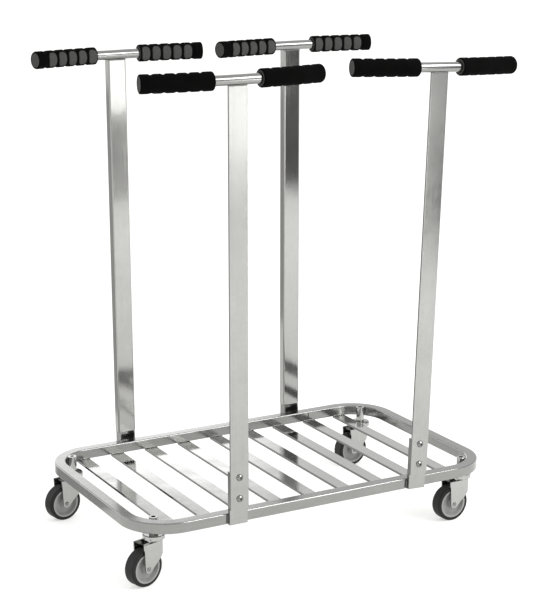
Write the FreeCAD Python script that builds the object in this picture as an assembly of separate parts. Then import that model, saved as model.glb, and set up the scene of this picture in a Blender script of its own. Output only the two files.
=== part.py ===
"""Flat-bed trolley: slatted ring frame on four swivel castors, with four upright T-handles.

Axes: X along the frame, Y across it, +Z up, millimetres.
Origin: on the floor, at the middle of the frame.
"""
import math
import os

import FreeCAD
import Part

# ---------------------------------------------------------------- driving dimensions

# Castors
WHEEL_RADIUS = 37.5
TYRE_WIDTH = 26.0
TRAIL = 27.0
CASTOR_X = 361.0
CASTOR_Y = 202.5
CASTOR_HEADING = {
    "front_left": 195.0,
    "front_right": 181.5,
    "rear_left": 190.0,
    "rear_right": 184.0,
}

# Ring frame: one bent box tube
RING_LENGTH = 824.0
RING_WIDTH = 512.0
RING_CORNER_RADIUS = 98.0
RING_TUBE_WIDTH = 24.0
RING_TUBE_HEIGHT = 22.0
RING_BOTTOM = 110.5
RING_WALL = 1.5
RING_EDGE_RADIUS = 2.5

# Deck slats, welded under the ring
SLAT_COUNT = 9
SLAT_PITCH = 80.5
SLAT_WIDTH = 27.0
SLAT_THICKNESS = 5.0
SLAT_LENGTH = 478.0

# Uprights and the channel stubs that carry them
POST_X = 207.0
POST_WIDTH = 40.0
FRONT_POST_THICKNESS = 4.5
FRONT_POST_GAP_OVER_RING = 10.0
REAR_POST_DEPTH = 20.0
REAR_POST_WALL = 1.5
REAR_POST_GAP_OVER_RING = 17.0
REAR_POST_SETBACK = 1.0
POST_LEAN = {"front_left": 0.0, "front_right": 2.1, "rear_left": -0.4, "rear_right": 0.0}
STUB_WIDTH = 39.0
STUB_SHEET = 2.5
STUB_TOP_OVER_BOLT = 12.0
FRONT_STUB_DEPTH = 8.0

# Fasteners: M8 button-head screws and nuts
BOLT_HEIGHTS = (164.0, 207.0)
BOLT_RADIUS = 4.0
BOLT_HEAD_RADIUS = 7.0
BOLT_HEAD_HEIGHT = 4.4
BOLT_SOCKET_ACROSS_FLATS = 5.0
BOLT_SOCKET_DEPTH = 2.6
BOLT_GRIP_LENGTH = 15.0
NUT_ACROSS_FLATS = 13.0
NUT_HEIGHT = 6.0

# T-bars and foam grips
BAR_AXIS_HEIGHT = 973.0
BAR_RADIUS = 10.0
BAR_WALL = 1.5
BAR_SPAN = 376.0
BAR_BOW = 20.0
FRONT_BAR_Y = -264.0
REAR_BAR_Y = 260.0
GRIP_RADIUS = 18.5
GRIP_LENGTH = 140.0
GRIP_END_THICKNESS = 4.0

# Castor sockets, stems and swivel heads
SOCKET_RADIUS = 9.25
SOCKET_TOP = 134.0
SOCKET_BOTTOM = 102.0
SOCKET_ENTRY_RADIUS = 4.5
SOCKET_ENTRY_DEPTH = 12.0
STEM_RADIUS = 4.25
SHAFT_CLEARANCE = 0.05
CUP_RADIUS = 22.0
CUP_TOP = 100.0
CUP_SHEET = 2.5
CUP_SKIRT_BOTTOM = 91.0
BALL_RADIUS = 2.0
BALL_CIRCLE_RADIUS = 14.0
BALL_COUNT = 14
BALL_GAP = 0.1
KINGPIN_RADIUS = 6.0
KINGPIN_HEAD_RADIUS = 9.0
KINGPIN_HEAD_HEIGHT = 2.5

# Castor forks and wheels
FORK_SHEET = 2.5
FORK_OUTER_HALF_WIDTH = 17.5
FORK_TOP = 88.0
FORK_TAIL_X = -37.5
FORK_PLATE_TAIL_X = -13.0
FORK_WEB_FOOT = 68.0
FORK_EYE_RADIUS = 8.0
AXLE_RADIUS = 4.0
AXLE_HEAD_RADIUS = 4.8
AXLE_HEAD_HEIGHT = 1.4
HUB_RADIUS = 30.0
HUB_RIM_WIDTH = 3.5
HUB_WEB_THICKNESS = 11.0
HUB_BOSS_RADIUS = 9.5
HUB_BOSS_HALF_LENGTH = 13.8
BUSH_RADIUS = 6.0
BUSH_HALF_LENGTH = 14.4
TYRE_SHOULDER = 3.5

# ---------------------------------------------------------------- derived sizes

RING_TOP = RING_BOTTOM + RING_TUBE_HEIGHT
HALF_RING_WIDTH = RING_WIDTH / 2
STUB_TOP = BOLT_HEIGHTS[1] + STUB_TOP_OVER_BOLT
BAR_ARC_RADIUS = ((BAR_SPAN / 2) ** 2 + BAR_BOW ** 2) / (2 * BAR_BOW)
CORNERS = {
    "front_left": (-1, -1),
    "front_right": (1, -1),
    "rear_left": (-1, 1),
    "rear_right": (1, 1),
}
UP = FreeCAD.Vector(0, 0, 1)
ACROSS = FreeCAD.Vector(0, 1, 0)


def vec(x, y, z):
    return FreeCAD.Vector(x, y, z)


# ---------------------------------------------------------------- shape helpers

def box(x0, x1, y0, y1, z0, z1):
    return Part.makeBox(x1 - x0, y1 - y0, z1 - z0, vec(x0, y0, z0))


def round_vertical_edges(shape, radius):
    edges = [edge for edge in shape.Edges if is_vertical(edge)]
    return shape.makeFillet(radius, edges)


def is_vertical(edge):
    start, end = edge.Vertexes[0].Point, edge.Vertexes[-1].Point
    return math.hypot(end.x - start.x, end.y - start.y) < 1e-6


def rounded_slab(length, width, radius, z0, z1):
    slab = box(-length / 2, length / 2, -width / 2, width / 2, z0, z1)
    return round_vertical_edges(slab, radius)


def ring_of(shrink, z0, z1):
    """A closed rectangular ring whose tube is narrower than the frame's by `shrink` on each side."""
    outer = rounded_slab(
        RING_LENGTH - 2 * shrink, RING_WIDTH - 2 * shrink, RING_CORNER_RADIUS - shrink, z0, z1)
    bore = 2 * (RING_TUBE_WIDTH - shrink)
    inner = rounded_slab(
        RING_LENGTH - bore, RING_WIDTH - bore, RING_CORNER_RADIUS - bore / 2, z0 - 1, z1 + 1)
    return outer.cut(inner)


def revolve_profile(points, centre, axis):
    """Turn a closed outline of (radius, height) points about a Z axis, then lay it along `axis`."""
    corners = [vec(radius, 0, height) for radius, height in points]
    face = Part.Face(Part.makePolygon(corners + corners[:1]))
    solid = face.revolve(vec(0, 0, 0), UP, 360)
    solid.Placement = FreeCAD.Placement(centre, FreeCAD.Rotation(UP, axis))
    return solid


def hexagon_prism(across_flats, height, base, axis):
    radius = across_flats / math.sqrt(3)
    corners = [vec(radius * math.cos(k * math.pi / 3), radius * math.sin(k * math.pi / 3), 0) for k in range(7)]
    prism = Part.Face(Part.makePolygon(corners)).extrude(vec(0, 0, height))
    prism.Placement = FreeCAD.Placement(base, FreeCAD.Rotation(UP, axis))
    return prism


# ---------------------------------------------------------------- frame ring and deck

def frame_ring():
    tube = ring_of(0, RING_BOTTOM, RING_TOP)
    long_edges = [edge for edge in tube.Edges if not is_vertical(edge)]
    tube = tube.makeFillet(RING_EDGE_RADIUS, long_edges)
    return tube.cut(ring_of(RING_WALL, RING_BOTTOM + RING_WALL, RING_TOP - RING_WALL))


def deck_slat(index):
    x = (index - (SLAT_COUNT - 1) / 2) * SLAT_PITCH
    return box(
        x - SLAT_WIDTH / 2, x + SLAT_WIDTH / 2, -SLAT_LENGTH / 2, SLAT_LENGTH / 2,
        RING_BOTTOM - SLAT_THICKNESS, RING_BOTTOM)


# ---------------------------------------------------------------- uprights

def post_x(corner):
    return CORNERS[corner][0] * POST_X


def lean(shape, corner):
    """Lean an upright's pieces sideways about the foot of its stub."""
    tilted = shape.copy()
    tilted.rotate(vec(post_x(corner), 0, RING_BOTTOM), ACROSS, POST_LEAN[corner])
    return tilted


def bolt_holes(x, y0, y1):
    holes = [Part.makeCylinder(BOLT_RADIUS, y1 - y0, vec(x, y0, z), vec(0, 1, 0)) for z in BOLT_HEIGHTS]
    return Part.makeCompound(holes)


def front_stub(x):
    """Channel with its web outward, its flanges against the ring's outer wall."""
    back = -HALF_RING_WIDTH
    face = back - FRONT_STUB_DEPTH
    half = STUB_WIDTH / 2
    stub = box(x - half, x + half, face, back, RING_BOTTOM, STUB_TOP)
    inside = half - STUB_SHEET
    stub = stub.cut(box(x - inside, x + inside, face + STUB_SHEET, back + 1, RING_BOTTOM - 1, STUB_TOP + 1))
    return stub.cut(bolt_holes(x, face - 1, back))


def front_post(x):
    """Flat bar bolted to the outside of its stub, its top shaped to the T-bar."""
    back = -HALF_RING_WIDTH - FRONT_STUB_DEPTH
    face = back - FRONT_POST_THICKNESS
    half = POST_WIDTH / 2
    bar = box(x - half, x + half, face, back, RING_TOP + FRONT_POST_GAP_OVER_RING, BAR_AXIS_HEIGHT)
    bar = round_vertical_edges(bar, FRONT_POST_THICKNESS * 0.3)
    bar = bar.cut(bolt_holes(x, face - 1, back + 1))
    return bar.cut(bowed_bar(x, FRONT_BAR_Y, BAR_RADIUS))


def rear_post_faces():
    inner = HALF_RING_WIDTH + REAR_POST_SETBACK
    return inner, inner + REAR_POST_DEPTH


def rear_stub(x):
    """Channel open toward the ring; its upper part fits inside the tubular post."""
    post_inner, post_outer = rear_post_faces()
    web = post_outer - REAR_POST_WALL
    lip = post_inner + REAR_POST_WALL + 0.3
    half = POST_WIDTH / 2 - REAR_POST_WALL - 0.3
    inside = half - STUB_SHEET
    foot_top = RING_TOP + REAR_POST_GAP_OVER_RING - 2
    foot = box(x - half, x + half, HALF_RING_WIDTH, web, RING_BOTTOM, foot_top)
    neck = box(x - half, x + half, lip, web, foot_top, STUB_TOP)
    stub = foot.fuse(neck).removeSplitter()
    hollow = box(
        x - inside, x + inside, HALF_RING_WIDTH - 1, web - STUB_SHEET, RING_BOTTOM - 1, STUB_TOP + 1)
    return stub.cut(hollow).cut(bolt_holes(x, web - STUB_SHEET - 1, post_outer + 1))


def rear_post(x):
    """Rectangular tube slipped over its stub, its top shaped to the T-bar."""
    inner, outer = rear_post_faces()
    bottom = RING_TOP + REAR_POST_GAP_OVER_RING
    half = POST_WIDTH / 2
    tube = box(x - half, x + half, inner, outer, bottom, BAR_AXIS_HEIGHT)
    tube = round_vertical_edges(tube, 2 * REAR_POST_WALL)
    bore_half = half - REAR_POST_WALL
    bore = box(
        x - bore_half, x + bore_half, inner + REAR_POST_WALL, outer - REAR_POST_WALL,
        bottom - 1, BAR_AXIS_HEIGHT + 1)
    bore = round_vertical_edges(bore, REAR_POST_WALL / 5)
    tube = tube.cut(bore)
    tube = tube.cut(bolt_holes(x, outer - REAR_POST_WALL - 1, outer + 1))
    tube = tube.cut(bowed_bar(x, REAR_BAR_Y, BAR_RADIUS))
    return max(tube.Solids, key=lambda solid: solid.Volume)


# ---------------------------------------------------------------- T-bars and grips

def bowed_rod(x, axis_y, radius, start, end):
    """Round rod from `start` to `end` along the T-bar's arc, measured from the bar's middle."""
    toward_middle = 1 if axis_y < 0 else -1
    centre = vec(x, axis_y + toward_middle * BAR_ARC_RADIUS, BAR_AXIS_HEIGHT)
    circle = Part.makeCircle(radius, vec(x, axis_y, BAR_AXIS_HEIGHT), vec(1, 0, 0))
    face = Part.Face(Part.Wire([circle]))
    start_angle = math.degrees(start / BAR_ARC_RADIUS)
    end_angle = math.degrees(end / BAR_ARC_RADIUS)
    face.rotate(centre, UP, toward_middle * start_angle)
    return face.revolve(centre, UP, toward_middle * (end_angle - start_angle))


def bar_half_length():
    return BAR_ARC_RADIUS * math.asin(BAR_SPAN / 2 / BAR_ARC_RADIUS)


def bowed_bar(x, axis_y, radius):
    reach = bar_half_length() - GRIP_END_THICKNESS
    return bowed_rod(x, axis_y, radius, -reach, reach)


def handlebar(x, axis_y):
    tube = bowed_bar(x, axis_y, BAR_RADIUS)
    return tube.cut(bowed_bar(x, axis_y, BAR_RADIUS - BAR_WALL))


def grip(x, axis_y, side):
    """Foam sleeve with a closed outer end; `side` is -1 or 1 along the bar."""
    tip = side * bar_half_length()
    root = side * (bar_half_length() - GRIP_LENGTH)
    foam = bowed_rod(x, axis_y, GRIP_RADIUS, min(root, tip), max(root, tip))
    return foam.cut(bowed_bar(x, axis_y, BAR_RADIUS))


# ---------------------------------------------------------------- fasteners

def button_bolt(x, face_y, z, outward):
    """Button-head screw: head on `face_y`, shank running inward from it."""
    profile = [
        (0, -BOLT_GRIP_LENGTH), (BOLT_RADIUS, -BOLT_GRIP_LENGTH), (BOLT_RADIUS, 0), (BOLT_HEAD_RADIUS, 0),
        (BOLT_HEAD_RADIUS, 1.0), (BOLT_HEAD_RADIUS * 0.86, BOLT_HEAD_HEIGHT * 0.62),
        (BOLT_HEAD_RADIUS * 0.55, BOLT_HEAD_HEIGHT), (0, BOLT_HEAD_HEIGHT)]
    axis = vec(0, outward, 0)
    screw = revolve_profile(profile, vec(x, face_y, z), axis)
    recess_base = vec(x, face_y + outward * (BOLT_HEAD_HEIGHT - BOLT_SOCKET_DEPTH), z)
    return screw.cut(hexagon_prism(BOLT_SOCKET_ACROSS_FLATS, BOLT_SOCKET_DEPTH + 1, recess_base, axis))


def hex_nut(x, seat_y, z, outward):
    """Nut against `seat_y`, on the inner side of the stub's web."""
    base = vec(x, seat_y - outward * NUT_HEIGHT, z)
    nut = hexagon_prism(NUT_ACROSS_FLATS, NUT_HEIGHT, base, vec(0, outward, 0))
    return nut.cut(Part.makeCylinder(BOLT_RADIUS, NUT_HEIGHT, base, vec(0, outward, 0)))


def fastener_sites():
    """(corner, outer face, nut seat, outward direction, height) of every screw."""
    front_face = -HALF_RING_WIDTH - FRONT_STUB_DEPTH - FRONT_POST_THICKNESS
    front_seat = -HALF_RING_WIDTH - FRONT_STUB_DEPTH + STUB_SHEET
    rear_face = rear_post_faces()[1]
    rear_seat = rear_face - REAR_POST_WALL - STUB_SHEET
    sites = []
    for corner, (side_x, side_y) in CORNERS.items():
        face, seat = (front_face, front_seat) if side_y < 0 else (rear_face, rear_seat)
        sites += [(corner, face, seat, side_y, z) for z in BOLT_HEIGHTS]
    return sites


def post_bolts():
    bolts = [
        lean(button_bolt(post_x(corner), face, z, outward), corner)
        for corner, face, seat, outward, z in fastener_sites()]
    return Part.makeCompound(bolts)


def post_nuts():
    nuts = [
        lean(hex_nut(post_x(corner), seat, z, outward), corner)
        for corner, face, seat, outward, z in fastener_sites()]
    return Part.makeCompound(nuts)


# ---------------------------------------------------------------- castor mountings

def castor_socket(x, y):
    """Tapped sleeve in the ring's corner; its upper end is an open, wider bore."""
    sleeve = Part.makeCylinder(SOCKET_RADIUS, SOCKET_TOP - SOCKET_BOTTOM, vec(x, y, SOCKET_BOTTOM))
    rim = [edge for edge in sleeve.Edges if edge.BoundBox.ZMin > SOCKET_TOP - 1e-3]
    sleeve = sleeve.makeChamfer(0.8, rim)
    sleeve = sleeve.cut(Part.makeCylinder(STEM_RADIUS, SOCKET_TOP - SOCKET_BOTTOM, vec(x, y, SOCKET_BOTTOM)))
    entry = vec(x, y, SOCKET_TOP - SOCKET_ENTRY_DEPTH)
    return sleeve.cut(Part.makeCylinder(SOCKET_ENTRY_RADIUS, SOCKET_ENTRY_DEPTH, entry))


def castor_sockets():
    return Part.makeCompound(
        [castor_socket(sx * CASTOR_X, sy * CASTOR_Y) for sx, sy in CORNERS.values()])


def castor_stem(x, y):
    """Fixed half of the swivel: threaded stem, ball cup and riveted kingpin in one piece."""
    head_top = FORK_TOP - FORK_SHEET - BALL_GAP
    profile = [
        (0, head_top - KINGPIN_HEAD_HEIGHT), (KINGPIN_HEAD_RADIUS, head_top - KINGPIN_HEAD_HEIGHT),
        (KINGPIN_HEAD_RADIUS, head_top), (KINGPIN_RADIUS, head_top),
        (KINGPIN_RADIUS, CUP_TOP - CUP_SHEET), (CUP_RADIUS - CUP_SHEET, CUP_TOP - CUP_SHEET),
        (CUP_RADIUS - CUP_SHEET, CUP_SKIRT_BOTTOM), (CUP_RADIUS, CUP_SKIRT_BOTTOM),
        (CUP_RADIUS, CUP_TOP - 1.5), (CUP_RADIUS - 1.5, CUP_TOP), (SOCKET_RADIUS, CUP_TOP),
        (SOCKET_RADIUS, SOCKET_BOTTOM), (STEM_RADIUS, SOCKET_BOTTOM),
        (STEM_RADIUS, SOCKET_TOP - SOCKET_ENTRY_DEPTH), (0, SOCKET_TOP - SOCKET_ENTRY_DEPTH)]
    return revolve_profile(profile, vec(x, y, 0), UP)


def ball_race_height():
    return CUP_TOP - CUP_SHEET - BALL_GAP - 2 * BALL_RADIUS - BALL_GAP


def swivel_balls():
    balls = []
    height = ball_race_height() + BALL_GAP + BALL_RADIUS
    for side_x, side_y in CORNERS.values():
        for k in range(BALL_COUNT):
            angle = 2 * math.pi * k / BALL_COUNT
            x = side_x * CASTOR_X + BALL_CIRCLE_RADIUS * math.cos(angle)
            y = side_y * CASTOR_Y + BALL_CIRCLE_RADIUS * math.sin(angle)
            balls.append(Part.makeSphere(BALL_RADIUS, vec(x, y, height)))
    return Part.makeCompound(balls)


# ---------------------------------------------------------------- castors, built trailing along -X

def fork_side_profile():
    """Side outline of the fork: tail edge, rounded eye, sloping foot of the leading web."""
    eye = vec(-TRAIL, 0, WHEEL_RADIUS)
    front = FORK_OUTER_HALF_WIDTH + 1
    foot = vec(front, 0, FORK_WEB_FOOT)
    to_foot = math.atan2(foot.z - eye.z, foot.x - eye.x)
    reach = math.hypot(foot.z - eye.z, foot.x - eye.x)
    lower_tangent = to_foot - math.acos(FORK_EYE_RADIUS / reach)
    tail_top = vec(FORK_TAIL_X, 0, FORK_TOP)
    to_tail = math.atan2(tail_top.z - eye.z, tail_top.x - eye.x)
    tail_reach = math.hypot(tail_top.z - eye.z, tail_top.x - eye.x)
    tail_tangent = to_tail + math.acos(FORK_EYE_RADIUS / tail_reach)

    def on_eye(angle):
        return eye + vec(FORK_EYE_RADIUS * math.cos(angle), 0, FORK_EYE_RADIUS * math.sin(angle))

    middle = (tail_tangent + lower_tangent + 2 * math.pi) / 2
    arc = Part.Arc(on_eye(tail_tangent), on_eye(middle), on_eye(lower_tangent)).toShape()
    nose_top = vec(front, 0, FORK_TOP)
    lines = [
        Part.makeLine(on_eye(lower_tangent), foot), Part.makeLine(foot, nose_top),
        Part.makeLine(nose_top, tail_top), Part.makeLine(tail_top, on_eye(tail_tangent))]
    return Part.Face(Part.Wire([arc] + lines))


def d_column(half_width, tail_x, z0, z1):
    """Upright column with a D-shaped plan: straight sides and a half-round nose."""
    nose = Part.makeCylinder(half_width, z1 - z0, vec(0, 0, z0))
    return nose.fuse(box(tail_x, 0, -half_width, half_width, z0, z1)).removeSplitter()


def fork():
    shell = d_column(FORK_OUTER_HALF_WIDTH, FORK_TAIL_X, 0, FORK_TOP)
    inner = FORK_OUTER_HALF_WIDTH - FORK_SHEET
    shell = shell.cut(d_column(inner, FORK_TAIL_X - 1, -1, FORK_TOP + 1))
    half = FORK_OUTER_HALF_WIDTH + 1
    side = fork_side_profile()
    side.translate(vec(0, -half, 0))
    arms = shell.common(side.extrude(vec(0, 2 * half, 0)))
    plate = d_column(inner, FORK_PLATE_TAIL_X, FORK_TOP - FORK_SHEET, FORK_TOP)
    race = Part.makeCylinder(BALL_CIRCLE_RADIUS + 3, ball_race_height() - FORK_TOP, vec(0, 0, FORK_TOP))
    body = arms.fuse([plate, race]).removeSplitter()
    pin_hole = Part.makeCylinder(KINGPIN_RADIUS + SHAFT_CLEARANCE, FORK_TOP, vec(0, 0, WHEEL_RADIUS))
    axle_hole = Part.makeCylinder(
        AXLE_RADIUS, 2 * half, vec(-TRAIL, -half, WHEEL_RADIUS), vec(0, 1, 0))
    return body.cut(pin_hole).cut(axle_hole)


def about_axle(points):
    """Turn a (radius, offset) outline about the wheel's axle."""
    return revolve_profile(points, vec(-TRAIL, 0, WHEEL_RADIUS), vec(0, 1, 0))


def axle():
    shoulder = FORK_OUTER_HALF_WIDTH
    tip = shoulder + AXLE_HEAD_HEIGHT
    crown = AXLE_HEAD_RADIUS * 0.6
    return about_axle([
        (0, -tip), (crown, -tip), (AXLE_HEAD_RADIUS, -shoulder - 0.5), (AXLE_HEAD_RADIUS, -shoulder),
        (AXLE_RADIUS, -shoulder), (AXLE_RADIUS, shoulder), (AXLE_HEAD_RADIUS, shoulder),
        (AXLE_HEAD_RADIUS, shoulder + 0.5), (crown, tip), (0, tip)])


def wheel_hub():
    half = TYRE_WIDTH / 2
    web = HUB_WEB_THICKNESS / 2
    rim = HUB_RADIUS - HUB_RIM_WIDTH
    upper = [
        (BUSH_RADIUS, HUB_BOSS_HALF_LENGTH), (HUB_BOSS_RADIUS, HUB_BOSS_HALF_LENGTH),
        (HUB_BOSS_RADIUS + 2, web), (rim - 3, web), (rim, half), (HUB_RADIUS, half)]
    lower = [(radius, -offset) for radius, offset in reversed(upper)]
    return about_axle(upper + lower)


def wheel_bush():
    bore = AXLE_RADIUS + SHAFT_CLEARANCE
    ends = [(bore, -BUSH_HALF_LENGTH), (BUSH_RADIUS, -BUSH_HALF_LENGTH)]
    return about_axle(ends + [(BUSH_RADIUS, BUSH_HALF_LENGTH), (bore, BUSH_HALF_LENGTH)])


def tyre():
    half = TYRE_WIDTH / 2
    tread = half - TYRE_SHOULDER
    side_radius = WHEEL_RADIUS - TYRE_SHOULDER
    diagonal = TYRE_SHOULDER * math.sqrt(0.5)
    start = vec(HUB_RADIUS, 0, -half)
    side = vec(side_radius, 0, -half)
    bend = vec(side_radius + diagonal, 0, -tread - diagonal)
    tread_start = vec(WHEEL_RADIUS, 0, -tread)

    def mirrored(point):
        return vec(point.x, 0, -point.z)

    edges = [
        Part.makeLine(start, side), Part.Arc(side, bend, tread_start).toShape(),
        Part.makeLine(tread_start, mirrored(tread_start)),
        Part.Arc(mirrored(tread_start), mirrored(bend), mirrored(side)).toShape(),
        Part.makeLine(mirrored(side), mirrored(start)), Part.makeLine(mirrored(start), start)]
    rubber = Part.Face(Part.Wire(edges)).revolve(vec(0, 0, 0), UP, 360)
    rubber.Placement = FreeCAD.Placement(
        vec(-TRAIL, 0, WHEEL_RADIUS), FreeCAD.Rotation(UP, vec(0, 1, 0)))
    return rubber


def at_castor(shape, corner):
    """Place a castor piece, built trailing along -X, at its corner and heading."""
    side_x, side_y = CORNERS[corner]
    placed = shape.copy()
    placed.rotate(vec(0, 0, 0), UP, CASTOR_HEADING[corner] - 180)
    placed.translate(vec(side_x * CASTOR_X, side_y * CASTOR_Y, 0))
    return placed


# ---------------------------------------------------------------- assembly

def build_nodes():
    nodes = {"frame_ring": frame_ring()}
    for index in range(SLAT_COUNT):
        nodes[f"deck_slat_{index + 1}"] = deck_slat(index)
    for corner, (side_x, side_y) in CORNERS.items():
        x = post_x(corner)
        axis_y = FRONT_BAR_Y if side_y < 0 else REAR_BAR_Y
        upright = {
            "post_stub": front_stub(x) if side_y < 0 else rear_stub(x),
            "post": front_post(x) if side_y < 0 else rear_post(x),
            "handlebar": handlebar(x, axis_y)}
        for name, shape in upright.items():
            nodes[f"{name}_{corner}"] = lean(shape, corner)
        nodes[f"grip_{corner}_left"] = lean(grip(x, axis_y, -1), corner)
        nodes[f"grip_{corner}_right"] = lean(grip(x, axis_y, 1), corner)
        nodes[f"castor_stem_{corner}"] = castor_stem(side_x * CASTOR_X, side_y * CASTOR_Y)
    nodes["post_bolts"] = post_bolts()
    nodes["post_nuts"] = post_nuts()
    nodes["castor_sockets"] = castor_sockets()
    nodes["swivel_balls"] = swivel_balls()
    castor_pieces = {
        "castor_fork": fork(), "axle": axle(), "wheel_hub": wheel_hub(),
        "wheel_bush": wheel_bush(), "tyre": tyre()}
    for name, shape in castor_pieces.items():
        for corner in CORNERS:
            nodes[f"{name}_{corner}"] = at_castor(shape, corner)
    return nodes


def main():
    os.makedirs("parts", exist_ok=True)
    for name, shape in build_nodes().items():
        if not shape.isValid():
            raise ValueError(f"{name} is not a valid shape")
        shape.exportStep(f"parts/{name}.step")
        size = shape.BoundBox
        print(f"{name}: {len(shape.Solids)} solid(s), {size.XLength:.1f} x {size.YLength:.1f} x {size.ZLength:.1f}")


main()
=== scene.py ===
"""Studio scene of the slatted platform trolley: materials, foam grips, welds, floor, light and camera.

Everything is in metres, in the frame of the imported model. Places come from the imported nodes' boxes. The
uprights' lean, the grips' radius and the ring tube's width repeat values of the part's source.
"""

import math

import bmesh
import bpy
from mathutils import Matrix, Vector


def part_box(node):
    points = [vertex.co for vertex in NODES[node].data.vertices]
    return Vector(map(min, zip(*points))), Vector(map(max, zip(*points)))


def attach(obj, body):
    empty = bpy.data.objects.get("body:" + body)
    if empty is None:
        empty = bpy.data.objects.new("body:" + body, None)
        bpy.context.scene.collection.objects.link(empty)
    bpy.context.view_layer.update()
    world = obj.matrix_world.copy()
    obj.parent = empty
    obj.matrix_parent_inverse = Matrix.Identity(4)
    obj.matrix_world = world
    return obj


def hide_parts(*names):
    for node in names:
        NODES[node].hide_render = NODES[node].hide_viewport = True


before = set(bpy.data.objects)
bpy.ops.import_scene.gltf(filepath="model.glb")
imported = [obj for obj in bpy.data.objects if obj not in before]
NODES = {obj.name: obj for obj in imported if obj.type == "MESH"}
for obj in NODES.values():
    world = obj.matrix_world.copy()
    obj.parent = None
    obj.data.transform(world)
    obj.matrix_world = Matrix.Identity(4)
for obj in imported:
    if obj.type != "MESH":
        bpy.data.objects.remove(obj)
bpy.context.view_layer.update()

CORNERS = ("front_left", "front_right", "rear_left", "rear_right")
SIDES = ("left", "right")
SLATS = sorted(name for name in NODES if name.startswith("deck_slat_"))


def mid(node):
    """Middle of a node's box."""
    low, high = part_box(node)
    return (low + high) / 2


def is_front(corner):
    return corner.startswith("front")


def rectangle(first_range, second_range):
    """The four corners of a rectangle, in order round it."""
    (left, right), (low, high) = first_range, second_range
    return ((left, low), (right, low), (right, high), (left, high))


# ---------------------------------------------------------------- mesh helpers

def new_object(name, mesh_builder, smooth=True):
    """Object from a bmesh that ``mesh_builder(mesh)`` fills in."""
    mesh = bmesh.new()
    mesh_builder(mesh)
    bmesh.ops.recalc_face_normals(mesh, faces=mesh.faces)
    data = bpy.data.meshes.new(name)
    mesh.to_mesh(data)
    mesh.free()
    for polygon in data.polygons:
        polygon.use_smooth = smooth
    piece = bpy.data.objects.new(name, data)
    bpy.context.scene.collection.objects.link(piece)
    return piece


def loft(mesh, loops, closed_ends=(True, True)):
    """Skin a list of equal-length loops of points."""
    rings = [[mesh.verts.new(point) for point in loop] for loop in loops]
    count = len(rings[0])
    for first, second in zip(rings, rings[1:]):
        for k in range(count):
            after = (k + 1) % count
            mesh.faces.new((first[k], first[after], second[after], second[k]))
    if closed_ends[0]:
        mesh.faces.new(rings[0])
    if closed_ends[1]:
        mesh.faces.new(rings[-1])
    return rings


# ---------------------------------------------------------------- node helpers

class Tree:
    """Short way to build the nodes of a material or the world."""

    def __init__(self, owner):
        owner.use_nodes = True
        self.nodes = owner.node_tree.nodes
        self.links = owner.node_tree.links

    def add(self, kind, **settings):
        node = self.nodes.new(kind)
        for key, value in settings.items():
            setattr(node, key, value)
        return node

    def join(self, source, target):
        self.links.new(source, target)

    def feed(self, socket, value):
        """Give a socket a plain value, or link another node's output to it."""
        if isinstance(value, (int, float, tuple)):
            socket.default_value = value
        else:
            self.join(value, socket)

    def math(self, operation, *values):
        node = self.add("ShaderNodeMath", operation=operation)
        for socket, value in zip(node.inputs, values):
            self.feed(socket, value)
        return node.outputs[0]

    def band(self, source, span, start, end):
        """Smooth change from ``start`` to ``end`` while ``source`` crosses ``span``."""
        node = self.add("ShaderNodeMapRange", interpolation_type="SMOOTHSTEP")
        for socket, value in zip(("From Min", "From Max", "To Min", "To Max"), (*span, start, end)):
            node.inputs[socket].default_value = value
        self.join(source, node.inputs["Value"])
        return node.outputs["Result"]


class Surface(Tree):
    """Nodes of one material, which end in its Principled shader."""

    def __init__(self, name):
        self.material = bpy.data.materials.new(name)
        super().__init__(self.material)
        self.shader = self.nodes["Principled BSDF"]

    def object_point(self):
        return self.add("ShaderNodeTexCoord").outputs["Object"]

    def stretched(self, scale):
        """Object coordinates, scaled along each axis."""
        mapping = self.add("ShaderNodeMapping")
        mapping.inputs["Scale"].default_value = scale
        self.join(self.object_point(), mapping.inputs["Vector"])
        return mapping.outputs["Vector"]

    def noise(self, scale, detail, roughness, vector=None):
        noise = self.add("ShaderNodeTexNoise")
        noise.inputs["Scale"].default_value = scale
        noise.inputs["Detail"].default_value = detail
        noise.inputs["Roughness"].default_value = roughness
        self.join(vector or self.object_point(), noise.inputs["Vector"])
        return noise.outputs["Fac"]

    def ramp(self, source, start, end, span=(0.3, 0.7)):
        """Change from colour or number ``start`` to ``end`` while ``source`` crosses ``span``."""
        ramp = self.add("ShaderNodeValToRGB")
        for element, place, value in zip(ramp.color_ramp.elements, span, (start, end)):
            element.position = place
            element.color = value if isinstance(value, tuple) else (value, value, value, 1)
        self.join(source, ramp.inputs["Fac"])
        return ramp.outputs["Color"]

    def greys(self, source, tone, darker, lighter, span=(0.3, 0.7)):
        """Grey from ``darker`` to ``lighter`` times ``tone``."""
        return self.ramp(source, grey(tone * darker), grey(min(1.0, tone * lighter)), span)

    def mix(self, factor, first, second, blend="MIX"):
        node = self.add("ShaderNodeMix", data_type="RGBA", blend_type=blend)
        inputs = {s.name: s for s in node.inputs if s.enabled and s.type in ("RGBA", "VALUE")}
        for name, value in (("Factor", factor), ("A", first), ("B", second)):
            self.feed(inputs[name], value)
        return next(socket for socket in node.outputs if socket.type == "RGBA")

    def bump(self, height, strength, distance, under=None):
        """Relief on top of the relief ``under``."""
        bump = self.add("ShaderNodeBump")
        bump.inputs["Strength"].default_value = strength
        bump.inputs["Distance"].default_value = distance
        self.join(height, bump.inputs["Height"])
        if under is not None:
            self.join(under, bump.inputs["Normal"])
        return bump.outputs["Normal"]

    def set(self, **values):
        for key, value in values.items():
            self.feed(self.shader.inputs[key.replace("_", " ")], value)
        return self.material


def grey(value):
    """A near-neutral grey, slightly warm."""
    return (value, value, value * 0.98, 1)


# ---------------------------------------------------------------- materials

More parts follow.
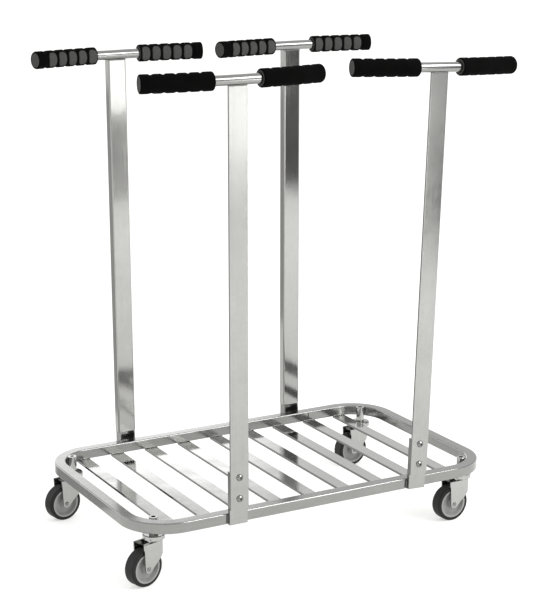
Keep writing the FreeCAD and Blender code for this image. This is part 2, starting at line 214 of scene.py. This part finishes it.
# Plated steel: noise scales in cells per metre, shares of each pattern, relief depths in metres.
LINES_ACROSS = 260.0
LINES_ALONG = 6.0
CLOUD_SCALE = 14.0
SPANGLE_SCALE = 110.0
SPECK_SCALE = 420.0
WAVE_SCALE = 9.0
SPANGLE_SHARE = 0.3
LINES_SHARE = 0.25
SPECK_SHARE = 0.3
WAVE_DEPTH = 0.004
LINE_DEPTH = 0.0004
SPECK_DEPTH = 0.0002
# Span of the normal's X over which faces along X take painted shade.
PAINTED_SHADE_SPAN = (0.6, 0.8)


def plated_steel(name, tone, roughness, draw_axis, mottle=0.08, waviness=0.12, x_face_painted_shade=1.0):
    """Bright zinc plate over drawn stock: faint draw lines, cloudy spangle, soft small dents.

    The last argument paints shade on the faces that point along X: their base colour is darkened to stand in
    for the dimmer light they get.
    """
    tree = Surface(name)
    along = [LINES_ACROSS] * 3
    along[draw_axis] = LINES_ALONG
    lines = tree.noise(1.0, 3.0, 0.6, tree.stretched(tuple(along)))
    clouds = tree.noise(CLOUD_SCALE, 5.0, 0.55)
    spangle = tree.noise(SPANGLE_SCALE, 4.0, 0.7)
    specks = tree.noise(SPECK_SCALE, 2.0, 0.7)
    waves = tree.noise(WAVE_SCALE, 2.0, 0.4)
    base = tree.greys(clouds, tone, 1 - mottle, 1 + mottle)
    base = tree.mix(SPANGLE_SHARE, base, tree.greys(spangle, tone, 0.88, 1.10, span=(0.35, 0.65)))
    base = tree.mix(LINES_SHARE, base, tree.greys(lines, tone, 0.9, 1.1))
    # Painted shade: faces pointing along X get a darker base colour in place of the light they miss.
    if x_face_painted_shade < 1:
        facing = tree.add("ShaderNodeSeparateXYZ")
        tree.join(tree.add("ShaderNodeNewGeometry").outputs["True Normal"], facing.inputs["Vector"])
        painted_shade = tree.ramp(tree.math("ABSOLUTE", facing.outputs["X"]), 1.0, x_face_painted_shade, PAINTED_SHADE_SPAN)
        base = tree.mix(1.0, base, painted_shade, "MULTIPLY")
    rough = tree.ramp(clouds, roughness * 0.8, roughness * 1.25)
    rough = tree.mix(SPECK_SHARE, rough, tree.ramp(specks, roughness * 0.7, roughness * 1.5, (0.35, 0.65)))
    relief = tree.bump(waves, waviness, WAVE_DEPTH)
    relief = tree.bump(lines, 0.10, LINE_DEPTH, relief)
    relief = tree.bump(specks, 0.06, SPECK_DEPTH, relief)
    return tree.set(Base_Color=base, Metallic=1.0, Roughness=rough, Normal=relief)


def foam(name, skin=0.0018, ground=0.062):
    """Closed-cell foam: black moulded skin, dark grey where it is cut or ground."""
    tree = Surface(name)
    pad = tree.add("ShaderNodeAttribute", attribute_name="pad").outputs["Fac"]
    cells = tree.add("ShaderNodeTexVoronoi", feature="F1")
    cells.inputs["Scale"].default_value = 800.0
    tree.join(tree.object_point(), cells.inputs["Vector"])
    grain = tree.noise(600.0, 4.0, 0.65)
    clouds = tree.noise(30.0, 3.0, 0.5)
    black = tree.greys(clouds, skin, 0.8, 1.5)
    dusty = tree.greys(grain, ground, 0.7, 1.25)
    base = tree.mix(pad, black, dusty)
    relief = tree.bump(cells.outputs["Distance"], 0.3, 0.0004)
    relief = tree.bump(grain, 0.3, 0.0003, relief)
    rough = tree.ramp(grain, 0.78, 0.95)
    return tree.set(Base_Color=base, Roughness=rough, Normal=relief, Specular_IOR_Level=0.03)


def rubber(name, darkest=0.006, lightest=0.014):
    """Matt black tyre rubber with faint clouds and a fine grain."""
    tree = Surface(name)
    grain = tree.noise(500.0, 4.0, 0.6)
    clouds = tree.noise(40.0, 4.0, 0.5)
    base = tree.ramp(clouds, grey(darkest), grey(lightest))
    rough = tree.ramp(grain, 0.45, 0.7)
    relief = tree.bump(grain, 0.25, 0.0003)
    return tree.set(Base_Color=base, Roughness=rough, Normal=relief, Specular_IOR_Level=0.25)


def plastic(name, tone, roughness=0.42):
    """Moulded plastic: faint flow clouds, fine spark-eroded texture."""
    tree = Surface(name)
    grain = tree.noise(700.0, 3.0, 0.6)
    clouds = tree.noise(35.0, 3.0, 0.5)
    base = tree.greys(clouds, tone, 0.92, 1.08)
    rough = tree.ramp(grain, roughness * 0.85, roughness * 1.2)
    return tree.set(Base_Color=base, Roughness=rough, Normal=tree.bump(grain, 0.15, 0.0002))


def floor_paper(name, glow=0.50):
    """Pale matt paper with a little light of its own, which softens the contact shadows."""
    tree = Surface(name)
    base = tree.ramp(tree.noise(80.0, 3.0, 0.5), grey(0.60), grey(0.61))
    return tree.set(Base_Color=base, Roughness=0.9, Emission_Color=grey(1.0), Emission_Strength=glow)


ALONG_X, ALONG_Y, ALONG_Z = range(3)
MATERIALS = {
    "ring": plated_steel("ring_plate", 0.27, 0.17, ALONG_X),
    # Slats and front posts carry painted shade on their faces along X.
    "slat": plated_steel("slat_plate", 0.42, 0.10, ALONG_Y, mottle=0.03, x_face_painted_shade=0.40),
    "post": plated_steel("post_plate", 0.34, 0.20, ALONG_Z, x_face_painted_shade=0.60),
    "rear_post": plated_steel("rear_post_plate", 0.34, 0.09, ALONG_Z),
    "bar": plated_steel("bar_plate", 0.27, 0.20, ALONG_X, mottle=0.04, waviness=0.0),
    "castor": plated_steel("castor_plate", 0.40, 0.14, ALONG_Z, waviness=0.2),
    "bolt": plated_steel("bolt_plate", 0.22, 0.14, ALONG_Y),
    # Weld beads are darker than the plate: partly heat tint, partly painted shade standing in for the
    # shadowed seams beside the stubs.
    "weld": plated_steel("weld_plate", 0.15, 0.34, ALONG_Z),
    "foam": foam("grip_foam"),
    "rubber": rubber("tyre_rubber"),
    "hub": plastic("hub_plastic", 0.25),
    "bush": plastic("bush_plastic", 0.08),
}

NODE_MATERIALS = {
    "frame_ring": "ring", "castor_sockets": "castor", "post_bolts": "bolt", "post_nuts": "bolt",
    "swivel_balls": "bolt"}
NODE_MATERIALS.update({slat: "slat" for slat in SLATS})
for corner in CORNERS:
    NODE_MATERIALS.update({
        f"post_stub_{corner}": "post", f"handlebar_{corner}": "bar",
        f"post_{corner}": "post" if is_front(corner) else "rear_post",
        f"castor_stem_{corner}": "castor", f"castor_fork_{corner}": "castor", f"axle_{corner}": "bolt",
        f"wheel_hub_{corner}": "hub", f"wheel_bush_{corner}": "bush", f"tyre_{corner}": "rubber"})
    NODE_MATERIALS.update({f"grip_{corner}_{side}": "foam" for side in SIDES})


def paint(piece, key):
    piece.data.materials.clear()
    piece.data.materials.append(MATERIALS[key])


for node, key in NODE_MATERIALS.items():
    paint(NODES[node], key)


# ---------------------------------------------------------------- uprights' geometry

POST_LEAN = {"front_left": 0.0, "front_right": 2.1, "rear_left": -0.4, "rear_right": 0.0}
UP = Vector((0, 0, 1))


def upright_reference(corner):
    """The corner at the same end of the trolley whose upright doesn't lean."""
    return "front_left" if is_front(corner) else "rear_right"


def side_sign(corner):
    return -1 if corner.endswith("left") else 1


def outward_sign(corner):
    """Direction along Y from the ring to the posts outside it."""
    return -1 if is_front(corner) else 1


def lean_matrix(corner):
    """Sideways lean of an upright about the foot of its stub."""
    post_x = side_sign(corner) * abs(mid(f"post_{upright_reference(corner)}").x)
    foot = Vector((post_x, 0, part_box("frame_ring")[0].z))
    turn = Matrix.Rotation(math.radians(POST_LEAN[corner]), 4, "Y")
    return Matrix.Translation(foot) @ turn @ Matrix.Translation(-foot)


class BarArc:
    """Centre line of one T-bar before it leans: a level arc whose ends sweep to the trolley's middle."""

    def __init__(self, corner):
        low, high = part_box(f"handlebar_{upright_reference(corner)}")
        middle = (low + high) / 2
        self.height = middle.z
        self.radius = (high.z - low.z) / 2
        self.x = side_sign(corner) * abs(middle.x)
        self.inward = -outward_sign(corner)
        self.crown_y = (low.y if self.inward > 0 else high.y) + self.inward * self.radius
        half = (high.x - low.x) / 2
        sweep = (high.y - low.y) - 2 * self.radius
        self.bend = (half ** 2 + sweep ** 2) / (2 * sweep)
        self.centre = Vector((self.x, self.crown_y + self.inward * self.bend, self.height))

    def point(self, along):
        angle = along / self.bend
        return self.centre + Vector((
            self.bend * math.sin(angle), -self.inward * self.bend * math.cos(angle), 0))

    def tangent(self, along):
        angle = along / self.bend
        return Vector((math.cos(angle), self.inward * math.sin(angle), 0))

    def section(self, along, radius_at, count):
        """Loop of points round the bar; angle 0 points inward, a quarter turn points up."""
        centre = self.point(along)
        inward = UP.cross(self.tangent(along)) * self.inward
        angles = [2 * math.pi * k / count for k in range(count)]
        return [centre + (inward * math.cos(a) + UP * math.sin(a)) * radius_at(a) for a in angles]


# ---------------------------------------------------------------- foam grips

# The foam sleeve: its skin, grooves, pads, rounded edges, bore and end disc.
GRIP_OUTER = 0.0185
SKIN_INSET = 0.0006
FINGER_PADS = 5
PLAIN_BAND = 0.022
GROOVE_HALF_WIDTH = 0.0060
GROOVE_DEPTH = 0.0024
GROOVE_FADE = (math.radians(65), math.radians(150))
PAD_HALF_ANGLE = math.radians(52)
PAD_MARGIN = 0.0030
PAD_BLUR = 0.0006
EDGE_ROUNDING = 0.0028
EDGE_STEPS = 5
ROOT_RIM = EDGE_ROUNDING * 1.3
BORE_CLEARANCE = 0.0002
BORE_DEPTH = 0.006
DISC_RINGS = (0.78, 0.74, 0.5, 0.25, 0.08)
DISC_DISH = 0.0008
DISC_EDGE = 0.80
DISC_BLUR = 0.05
GRIP_SIDES = 88
GRIP_STEPS = 170


def groove(distance):
    """1 at the middle of a finger groove, falling to 0 at its edges."""
    share = min(1.0, abs(distance) / GROOVE_HALF_WIDTH)
    return 0.5 * (1 + math.cos(math.pi * share))


def smooth_step(value, low, high):
    """0 below ``low``, 1 above ``high``, and a smooth change between."""
    share = min(1.0, max(0.0, (value - low) / (high - low)))
    return share * share * (3 - 2 * share)


class GripShape:
    """Finger-grooved sleeve: five ground pads face inward, separated by grooves."""

    def __init__(self, corner, side):
        self.arc = BarArc(corner)
        reference = upright_reference(corner)
        low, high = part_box(f"grip_{reference}_left")
        axis_x = mid(f"handlebar_{reference}").x
        reach = sorted((abs(low.x - axis_x), abs(high.x - axis_x)))
        bend = self.arc.bend
        self.sign = -1 if side == "left" else 1
        root_slant, tip_slant = (math.sin(x / bend) * GRIP_OUTER for x in reach)
        self.root = bend * math.asin((reach[0] + root_slant) / bend)
        self.tip = bend * math.asin((reach[1] - tip_slant) / bend)
        self.pitch = (self.tip - PLAIN_BAND - self.root) / FINGER_PADS
        self.grooves = [self.root + self.pitch * (k + 1) for k in range(FINGER_PADS)]

    def radius(self, along, angle):
        """Radius of the skin, less in the grooves, which fade out round the back."""
        turned = abs(math.remainder(angle, 2 * math.pi))
        reach = 1 - smooth_step(turned, *GROOVE_FADE)
        depth = max(groove(along - place) for place in self.grooves)
        return GRIP_OUTER - SKIN_INSET - GROOVE_DEPTH * depth * reach

    def pad(self, along, angle):
        """1 on a pad's ground face, 0 on the moulded skin."""
        turned = abs(math.remainder(angle, 2 * math.pi)) / PAD_HALF_ANGLE
        if turned >= 1 or along > self.grooves[-1]:
            return 0.0
        from_middle = abs((along - self.root) % self.pitch - self.pitch / 2)
        half = (self.pitch / 2 - PAD_MARGIN) * (1 - turned ** 4) ** 0.5
        return 1 - smooth_step(from_middle, half - PAD_BLUR, half + PAD_BLUR)

    def stations(self):
        """(along, inset) from the root's edge to the tip's, with rounded edges."""
        turns = [math.pi / 2 * k / EDGE_STEPS for k in range(EDGE_STEPS + 1)]
        edge = [(EDGE_ROUNDING * (1 - math.cos(t)), EDGE_ROUNDING * (1 - math.sin(t))) for t in turns]
        start = [(self.root + advance, inset) for advance, inset in edge]
        end = [(self.tip - advance, inset) for advance, inset in edge]
        span = self.tip - self.root - 2 * EDGE_ROUNDING
        middle = [(self.root + EDGE_ROUNDING + span * k / GRIP_STEPS, 0.0) for k in range(1, GRIP_STEPS)]
        return start + middle + end[::-1]


def foam_grip(corner, side):
    """Sleeve from inside its bore, over the grooved skin, to the slightly dished end disc."""
    shape = GripShape(corner, side)
    arc, sign = shape.arc, shape.sign
    hole = arc.radius + BORE_CLEARANCE

    def build(mesh):
        loops, pads = [], []

        def ring(along, radius_at, pad_at):
            loops.append(arc.section(sign * along, radius_at, GRIP_SIDES))
            pads.append([pad_at(2 * math.pi * k / GRIP_SIDES) for k in range(GRIP_SIDES)])

        ring(shape.root + BORE_DEPTH, lambda a: hole, lambda a: 1.0)
        ring(shape.root, lambda a: hole, lambda a: 1.0)
        ring(shape.root, lambda a: GRIP_OUTER - SKIN_INSET - ROOT_RIM, lambda a: 1.0)
        for along, inset in shape.stations():
            ring(along, lambda a: shape.radius(along, a) - inset, lambda a: shape.pad(along, a))
        for share in DISC_RINGS:
            ground = smooth_step(DISC_EDGE - share, 0.0, DISC_BLUR)
            ring(shape.tip - DISC_DISH * (1 - share ** 2), lambda a: GRIP_OUTER * share, lambda a: ground)
        layer = mesh.verts.layers.float.new("pad")
        rings = loft(mesh, loops, (False, True))
        for verts, values in zip(rings, pads):
            for vert, value in zip(verts, values):
                vert[layer] = value

    piece = new_object(f"foam_{corner}_{side}", build)
    piece.data.transform(lean_matrix(corner))
    piece.data.materials.append(MATERIALS["foam"])
    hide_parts(f"grip_{corner}_{side}")
    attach(piece, "frame")


for corner in CORNERS:
    for side in SIDES:
        foam_grip(corner, side)


# ---------------------------------------------------------------- welds

RING_TUBE_WIDTH = 0.024
BEAD_PITCH = 0.0016
STEPS_PER_RIPPLE = 3
BEAD_SIDES = 10
RIPPLE = 0.16
WANDER = 0.14
WANDER_WAVES = (310, 127)
END_SHARPNESS = 8
THINNEST_END = 0.02
DIRECTION_SPAN = 0.0005
BEAD_LIFT = 0.0002

# Each joint's bead radius, and how its bead sits. Angles are in degrees from the bar's lowest line.
BAR_BEAD = 0.0016
BAR_BEAD_DROP = 0.0008
BAR_BEAD_REACH = 0.96
SIDE_BEAD = 0.0014
SIDE_BEAD_START = 10
SIDE_BEAD_TURN = 75
PATH_STEPS = 12
STUB_BEAD = 0.0014
STUB_BEAD_GAP = 0.0004
STUB_BEAD_LIFT = 0.0005
STUB_BEAD_TRIM = 0.003
SLAT_BEAD = 0.0012
SEAM_BEAD = 0.0011
SEAM_FROM_POST = 0.032
SEAM_TRIM = 0.0025
SOCKET_BEAD = 0.0015
SOCKET_BEAD_OUT = 0.0083
SOCKET_BEAD_APART = 0.0052
SOCKET_BEAD_TRIM = 0.001


def weld_bead(name, path, radius, lean=None, seed=0):
    """Rippled weld bead along a list of points, thinner towards its two ends."""
    lengths = [(b - a).length for a, b in zip(path, path[1:])]
    total = sum(lengths)
    count = max(4, int(total / BEAD_PITCH * STEPS_PER_RIPPLE))
    quick, slow = WANDER_WAVES

    def at(distance):
        for start, end, length in zip(path, path[1:], lengths):
            if distance <= length:
                return start.lerp(end, distance / length)
            distance -= length
        return path[-1].copy()

    def build(mesh):
        loops = []
        for k in range(count + 1):
            distance = total * k / count
            here = at(distance)
            before, after = max(0.0, distance - DIRECTION_SPAN), min(total, distance + DIRECTION_SPAN)
            ahead = (at(after) - at(before)).normalized()
            side = ahead.cross(UP if abs(ahead.z) < 0.9 else Vector((1, 0, 0))).normalized()
            lift = side.cross(ahead)
            ripple = 1 + RIPPLE * math.sin(2 * math.pi * distance / BEAD_PITCH)
            wander = 1 + WANDER * math.sin(distance * quick + seed) * math.sin(distance * slow + 2 * seed)
            ends = math.sqrt(max(THINNEST_END, 1 - abs(2 * k / count - 1) ** END_SHARPNESS))
            size = radius * ripple * wander * ends
            angles = [2 * math.pi * j / BEAD_SIDES for j in range(BEAD_SIDES)]
            loops.append([here + side * size * math.cos(a) + lift * size * math.sin(a) for a in angles])
        loft(mesh, loops)

    bead = new_object(name, build)
    if lean is not None:
        bead.data.transform(lean)
    bead.data.materials.append(MATERIALS["weld"])
    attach(bead, "frame")


def bar_welds(corner):
    """Beads between a post's top and its T-bar.

    They run under the bar where a face of the post meets it. Where that face stands clear of the bar, they
    run up the bar's flank along both edges of the post.
    """
    arc = BarArc(corner)
    low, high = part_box(f"post_{upright_reference(corner)}")
    half = (high.x - low.x) / 2
    lean = lean_matrix(corner)
    for number, y in enumerate((low.y, high.y)):
        offset = abs(y - arc.crown_y)
        if offset < arc.radius:
            lifted_y = y + (2 * number - 1) * BEAD_LIFT
            height = arc.height - math.sqrt(arc.radius ** 2 - offset ** 2) - BAR_BEAD_DROP
            across = [half * (2 * k / PATH_STEPS - 1) * BAR_BEAD_REACH for k in range(PATH_STEPS + 1)]
            path = [Vector((arc.x + x, lifted_y, height)) for x in across]
            weld_bead(f"bar_weld_{corner}_{number}", path, BAR_BEAD, lean, seed=number + arc.x)
        else:
            degrees = [SIDE_BEAD_START + SIDE_BEAD_TURN * k / PATH_STEPS for k in range(PATH_STEPS + 1)]
            turns = [math.radians(angle) for angle in degrees]
            for end, edge in enumerate((-1, 1)):
                x = arc.x + edge * (half + BEAD_LIFT)
                path = [
                    Vector((x, arc.crown_y + arc.radius * math.sin(t), arc.height - arc.radius * math.cos(t)))
                    for t in turns]
                weld_bead(f"bar_weld_{corner}_side_{end}", path, SIDE_BEAD, lean, seed=edge + arc.x)


def upright_path(x, y, trim):
    """Path up the height of the ring's tube, shortened by ``trim`` at both ends."""
    low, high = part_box("frame_ring")
    return [Vector((x, y, low.z + trim)), Vector((x, y, high.z - trim))]


def stub_welds(corner):
    """Upright fillets where the stub's flanges meet the ring's outer wall."""
    low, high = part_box(f"post_stub_{upright_reference(corner)}")
    ring_low, ring_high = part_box("frame_ring")
    wall = ring_low.y if is_front(corner) else ring_high.y
    y = wall + outward_sign(corner) * STUB_BEAD_LIFT
    centre = side_sign(corner) * abs((low.x + high.x) / 2)
    half = (high.x - low.x) / 2
    for number, edge in enumerate((-1, 1)):
        path = upright_path(centre + edge * (half + STUB_BEAD_GAP), y, STUB_BEAD_TRIM)
        weld_bead(f"stub_weld_{corner}_{number}", path, STUB_BEAD, seed=number + centre)


def slat_welds():
    """Short fillets where each slat's edges meet the underside of the ring, up to the slat's end."""
    ring_low, ring_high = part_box("frame_ring")
    inner_walls = (ring_low.y + RING_TUBE_WIDTH, ring_high.y - RING_TUBE_WIDTH)
    height = ring_low.z - BEAD_LIFT
    for slat in SLATS:
        low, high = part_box(slat)
        for row, tip, wall in (("front", low.y, inner_walls[0]), ("rear", high.y, inner_walls[1])):
            for edge, x in (("left", low.x), ("right", high.x)):
                path = [Vector((x, tip, height)), Vector((x, wall, height))]
                weld_bead(f"{slat}_weld_{row}_{edge}", path, SLAT_BEAD, seed=x * 50)


def ring_seam():
    """Upright butt weld that closes the ring, on the rear rail's inner wall."""
    inner_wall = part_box("frame_ring")[1].y - RING_TUBE_WIDTH
    path = upright_path(mid("post_rear_right").x + SEAM_FROM_POST, inner_wall - BEAD_LIFT, SEAM_TRIM)
    weld_bead("ring_seam", path, SEAM_BEAD, seed=4)


def socket_welds(corner):
    """Two upright fillets that hold a castor's socket in the ring's bend."""
    stem = mid(f"castor_stem_{corner}")
    outward = Vector((math.copysign(1, stem.x), math.copysign(1, stem.y), 0)).normalized()
    across = Vector((-outward.y, outward.x, 0))
    for number, edge in enumerate((-1, 1)):
        foot = stem + outward * SOCKET_BEAD_OUT + across * edge * SOCKET_BEAD_APART
        path = upright_path(foot.x, foot.y, SOCKET_BEAD_TRIM)
        weld_bead(f"socket_weld_{corner}_{number}", path, SOCKET_BEAD, seed=number + stem.x)


for corner in CORNERS:
    bar_welds(corner)
    stub_welds(corner)
slat_welds()
ring_seam()
for corner in CORNERS:
    socket_welds(corner)


# ---------------------------------------------------------------- floor, light and camera

CAMERA_PLACE = Vector((-1.6724, -3.0303, 1.3330))
CAMERA_AZIMUTH = math.radians(-28.95)
CAMERA_ELEVATION = math.radians(13.89)
LENS = 102.8
SENSOR = 36.0
FLOOR_HALF = 60.0

# The sky's brighter patch fades over these spans of a sky direction's Z, its Y, and its X over Y.
PATCH_GAIN = 1.6
PATCH_TOP = (0.328, 0.350)
PATCH_BACK = (0.3, 0.6)
PATCH_SLANT = (0.49, 0.60)

KEY_PLACE = (1.6, -2.3, 2.5)
KEY_TARGET = (1.3, -2.0, 0)
KEY_SIZE = 1.8
KEY_POWER = 90

FRONT_CARDS_Y = -1.5
HORIZON_CARD_Y = -5.0
FLOOR_CARD_Z = 0.002


def flat_panel(name, corners):
    def build(mesh):
        mesh.faces.new([mesh.verts.new(place) for place in corners])

    return new_object(name, build, smooth=False)


def studio_floor():
    span = (-FLOOR_HALF, FLOOR_HALF)
    floor = flat_panel("studio_floor", [(x, y, 0) for x, y in rectangle(span, span)])
    floor.data.materials.append(floor_paper("floor_paper"))


def area_light(name, place, target, size, power):
    data = bpy.data.lights.new(name, "AREA")
    data.shape = "RECTANGLE"
    data.size = size
    data.size_y = size
    data.energy = power
    lamp = bpy.data.objects.new(name, data)
    lamp.location = place
    lamp.rotation_euler = (Vector(target) - Vector(place)).to_track_quat("-Z", "Y").to_euler()
    bpy.context.scene.collection.objects.link(lamp)


def reflection_card(name, corners, radiance):
    """Flat studio card, seen only in reflections."""
    card = flat_panel(name, corners)
    surface = Surface(name)
    surface.set(Base_Color=grey(0.0), Roughness=1.0, Specular_IOR_Level=0.0)
    card.data.materials.append(surface.set(Emission_Color=grey(1.0), Emission_Strength=radiance))
    card.visible_camera = False
    card.visible_diffuse = False
    card.visible_shadow = False


def upright_card(name, y, x_range, z_range, radiance):
    reflection_card(name, [(x, y, z) for x, z in rectangle(x_range, z_range)], radiance)


def level_card(name, z, x_range, y_range, radiance):
    reflection_card(name, [(x, y, z) for x, y in rectangle(x_range, y_range)], radiance)


def reflection_cards():
    """Cards placed for the photograph's view, where the steel mirrors them as light and dark bands."""
    for name, x_range, z_range, radiance in (
            ("card_bright", (0.30, 0.65), (0.605, 0.95), 3.2),
            ("card_dim_left", (0.52, 0.65), (0.315, 0.600), 0.55),
            ("card_low", (0.67, 0.84), (0.36, 0.72), 9.0),
            ("card_dim_right", (0.90, 1.15), (0.30, 0.60), 0.25),
            ("card_dark", (1.15, 1.50), (0.285, 0.95), 0.2)):
        upright_card(name, FRONT_CARDS_Y, x_range, z_range, radiance)
    upright_card("card_horizon", HORIZON_CARD_Y, x_range=(-3.0, 9.0), z_range=(1.02, 1.70), radiance=0.12)
    level_card("card_floor", FLOOR_CARD_Z, x_range=(-5.0, -0.46), y_range=(0.2, 7.0), radiance=0.62)


def studio_world():
    """White surround with a brighter patch low behind the trolley, which the deck mirrors."""
    world = bpy.data.worlds.new("studio")
    bpy.context.scene.world = world
    tree = Tree(world)
    parts = tree.add("ShaderNodeSeparateXYZ")
    tree.join(tree.add("ShaderNodeTexCoord").outputs["Generated"], parts.inputs["Vector"])
    slant = tree.math("DIVIDE", parts.outputs["X"], parts.outputs["Y"])
    back = tree.band(parts.outputs["Y"], PATCH_BACK, 0.0, 1.0)
    beyond = tree.math("MULTIPLY", back, tree.band(slant, PATCH_SLANT, 1.0, 0.0))
    patch = tree.math("MULTIPLY", tree.band(parts.outputs["Z"], PATCH_TOP, 1.0, 0.0), beyond)
    background = tree.nodes["Background"]
    tree.join(tree.math("MULTIPLY_ADD", patch, PATCH_GAIN, 1.0), background.inputs["Strength"])
    background.inputs["Color"].default_value = (1, 1, 1, 1)


def studio_camera():
    data = bpy.data.cameras.new("camera")
    data.lens = LENS
    data.sensor_width = SENSOR
    data.sensor_fit = "AUTO"
    data.clip_end = 100
    camera = bpy.data.objects.new("camera", data)
    flat = math.cos(CAMERA_ELEVATION)
    back = Vector((
        math.sin(CAMERA_AZIMUTH) * flat, -math.cos(CAMERA_AZIMUTH) * flat, math.sin(CAMERA_ELEVATION)))
    camera.location = CAMERA_PLACE
    camera.rotation_euler = back.to_track_quat("Z", "Y").to_euler()
    bpy.context.scene.collection.objects.link(camera)
    bpy.context.scene.camera = camera


studio_floor()
studio_world()
area_light("key", KEY_PLACE, KEY_TARGET, KEY_SIZE, KEY_POWER)
reflection_cards()
studio_camera()
bpy.context.scene.view_settings.view_transform = "Standard"
